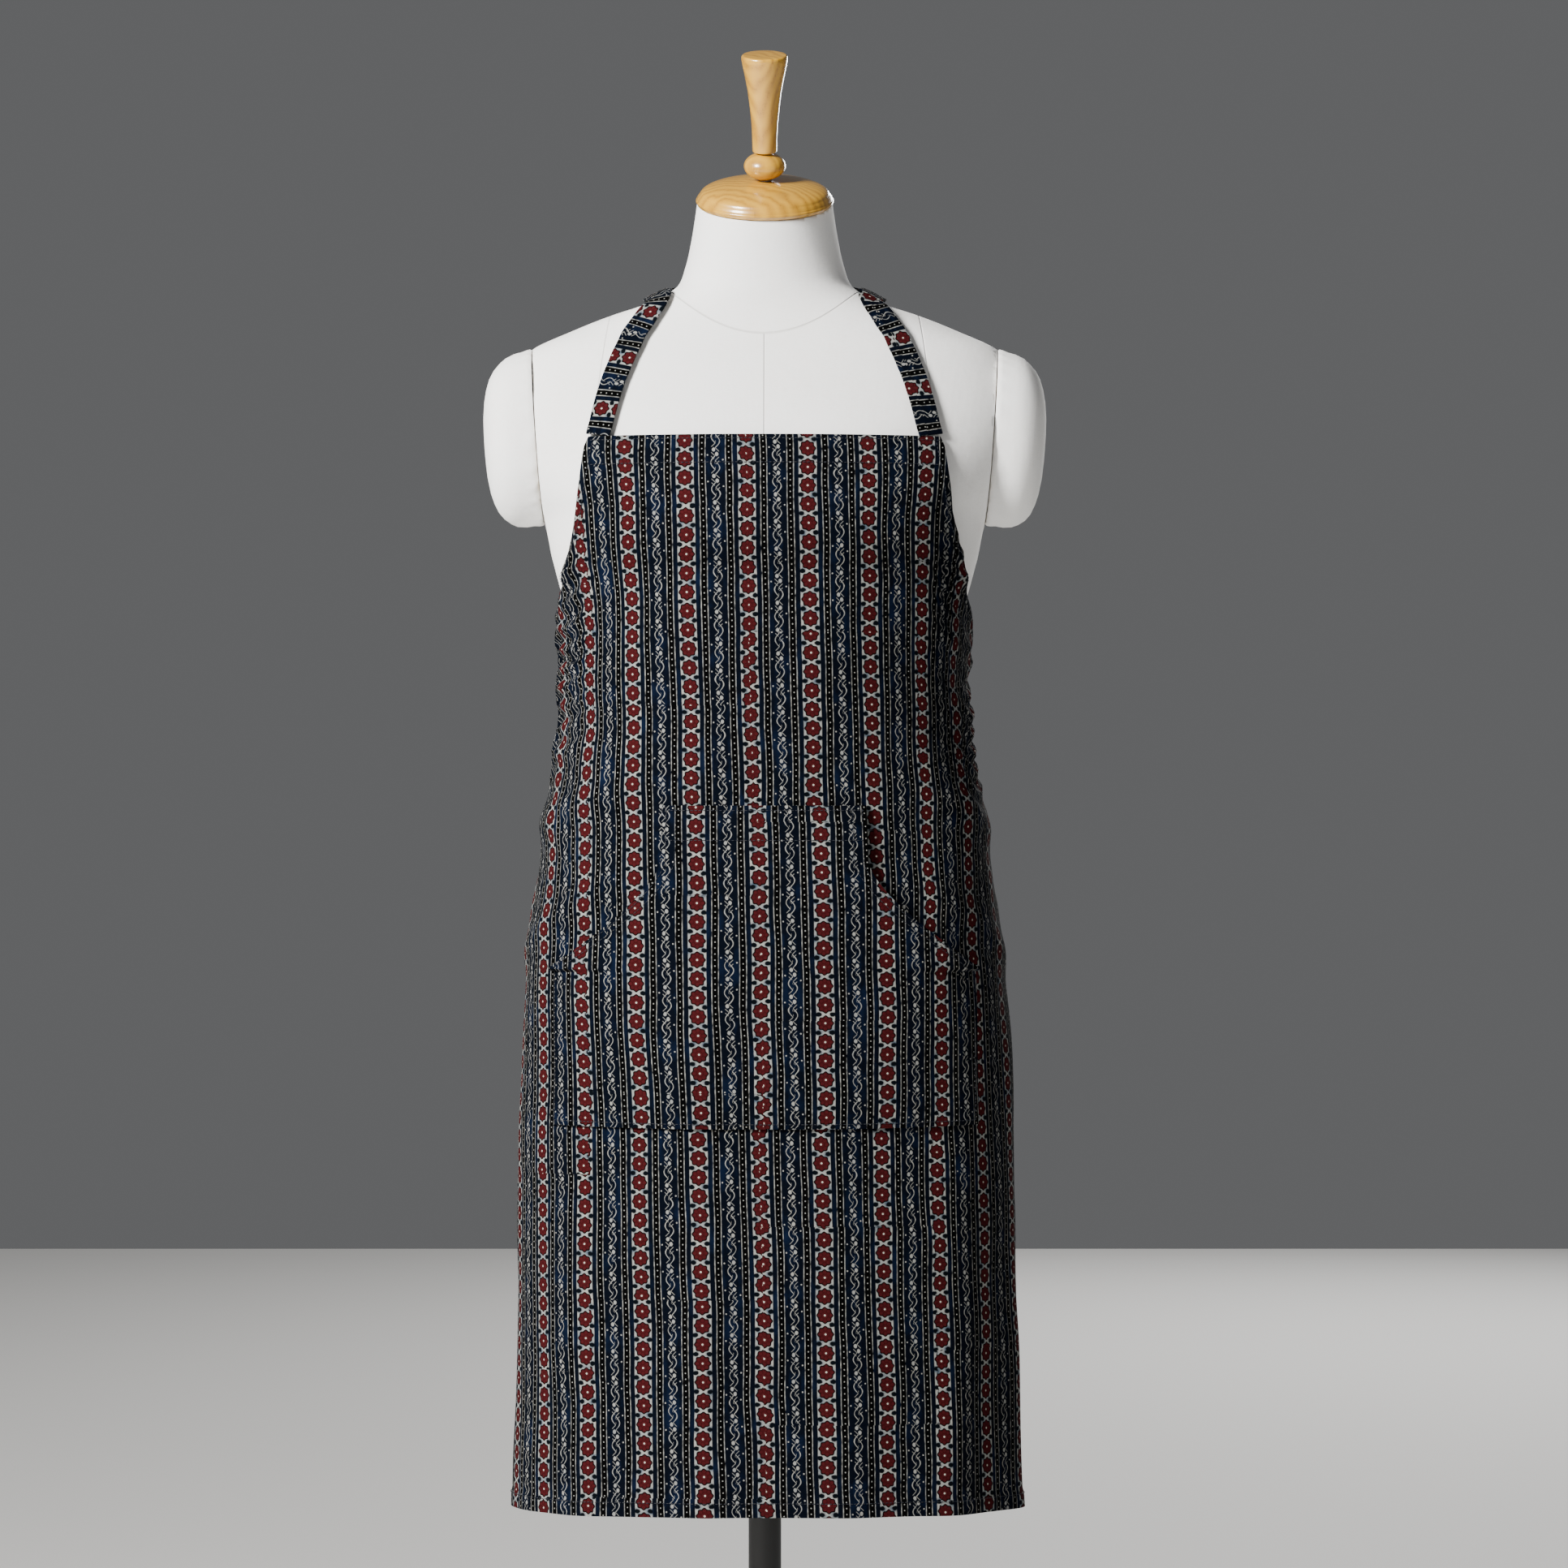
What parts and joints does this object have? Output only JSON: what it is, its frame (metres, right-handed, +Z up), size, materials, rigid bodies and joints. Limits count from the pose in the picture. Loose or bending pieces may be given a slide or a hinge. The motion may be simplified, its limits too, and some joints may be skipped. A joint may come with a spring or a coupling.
{
  "type": "apron on a dress form",
  "caption": "Block-printed cotton bib apron with a kangaroo pocket, worn by a tailor's dress form on a height-adjustable pole stand.",
  "frame": {"origin": "on the floor under the pole's axis", "axes": "+Z up, the front of the apron faces -Y, +X to the viewer's right"},
  "size_m": [0.4296, 0.36, 1.5733],
  "materials": {
    "print_cotton": "block-printed cotton",
    "white_cotton": "woven cotton",
    "papier_mache": "raw",
    "lacquered_wood": "gloss lacquer",
    "board_wood": "sanded",
    "black_steel": "satin black",
    "zinc_steel": "zinc plated",
    "black_plastic": "matt",
    "rubber": "matt",
    "woven_label": "woven tape"
  },
  "bodies": {
    "stand": {"base_plate": "black_steel", "base_socket": "black_steel", "socket_screw_1": "zinc_steel", "socket_screw_2": "zinc_steel", "socket_screw_3": "zinc_steel", "foot_pad_1": "rubber", "foot_pad_2": "rubber", "foot_pad_3": "rubber", "foot_pad_4": "rubber", "lower_tube": "black_steel", "tube_bush": "black_plastic", "clamp_collar": "black_steel"},
    "pole": {"inner_pole": "black_steel", "pole_glide": "black_plastic"},
    "clamp_pad": {"pressure_pad": "black_plastic"},
    "clamp_screw": {"clamp_knob": "black_plastic"},
    "finial": {"finial_ball": "lacquered_wood", "finial_handle": "lacquered_wood"},
    "arm_left": {"arm_cap_left": "white_cotton", "arm_cap_board_left": "board_wood", "arm_pin_left_1": "zinc_steel", "arm_pin_left_2": "zinc_steel"},
    "arm_right": {"arm_cap_right": "white_cotton", "arm_cap_board_right": "board_wood", "arm_pin_right_1": "zinc_steel", "arm_pin_right_2": "zinc_steel"},
    "form": {"apron_body": "print_cotton", "pocket": "print_cotton", "neck_strap": "print_cotton", "waist_tie_left": "print_cotton", "waist_tie_right": "print_cotton", "bow_knot": "print_cotton", "bow_loop_left": "print_cotton", "bow_loop_right": "print_cotton", "bow_tail_left": "print_cotton", "bow_tail_right": "print_cotton", "torso_cover": "white_cotton", "torso_shell": "papier_mache", "neck_cap": "lacquered_wood", "bottom_board": "board_wood", "neck_block": "board_wood", "arm_plate_left": "board_wood", "arm_plate_right": "board_wood", "pole_flange": "black_steel", "neck_rod": "zinc_steel", "neck_nut": "zinc_steel", "flange_screw_1": "zinc_steel", "flange_screw_2": "zinc_steel", "flange_screw_3": "zinc_steel", "label_tab": "woven_label"}
  },
  "joints": [
    {"name": "pole_height", "type": "slide", "parent": "stand", "child": "pole", "axis": [0, 0, 1], "range_m": [-0.12, 0.16]},
    {"name": "form_swivel", "type": "hinge", "parent": "pole", "child": "form", "pos_m": [0, 0, 0.7], "axis": [0, 0, 1], "continuous": true},
    {"name": "pad_slide", "type": "slide", "parent": "stand", "child": "clamp_pad", "axis": [1, 0, 0], "range_m": [0, 0.00251]},
    {"name": "clamp_turn", "type": "hinge", "parent": "clamp_pad", "child": "clamp_screw", "pos_m": [0.03, 0, 0.353], "axis": [1, 0, 0], "range_deg": [0, 720]},
    {"name": "finial_turn", "type": "hinge", "parent": "form", "child": "finial", "pos_m": [0, -0.02, 1.461], "axis": [0, -0.3746, 0.9272], "range_deg": [0, 360]},
    {"name": "arm_cap_left_off", "type": "slide", "parent": "form", "child": "arm_left", "axis": [-0.9976, 0, -0.0698], "range_m": [0, 0.03]},
    {"name": "arm_cap_right_off", "type": "slide", "parent": "form", "child": "arm_right", "axis": [0.9976, 0, -0.0698], "range_m": [0, 0.03]}
  ],
  "couplings": [
    {"joint": "pad_slide", "follows": "clamp_turn", "m_per_rad": 0.00019894}
  ]
}
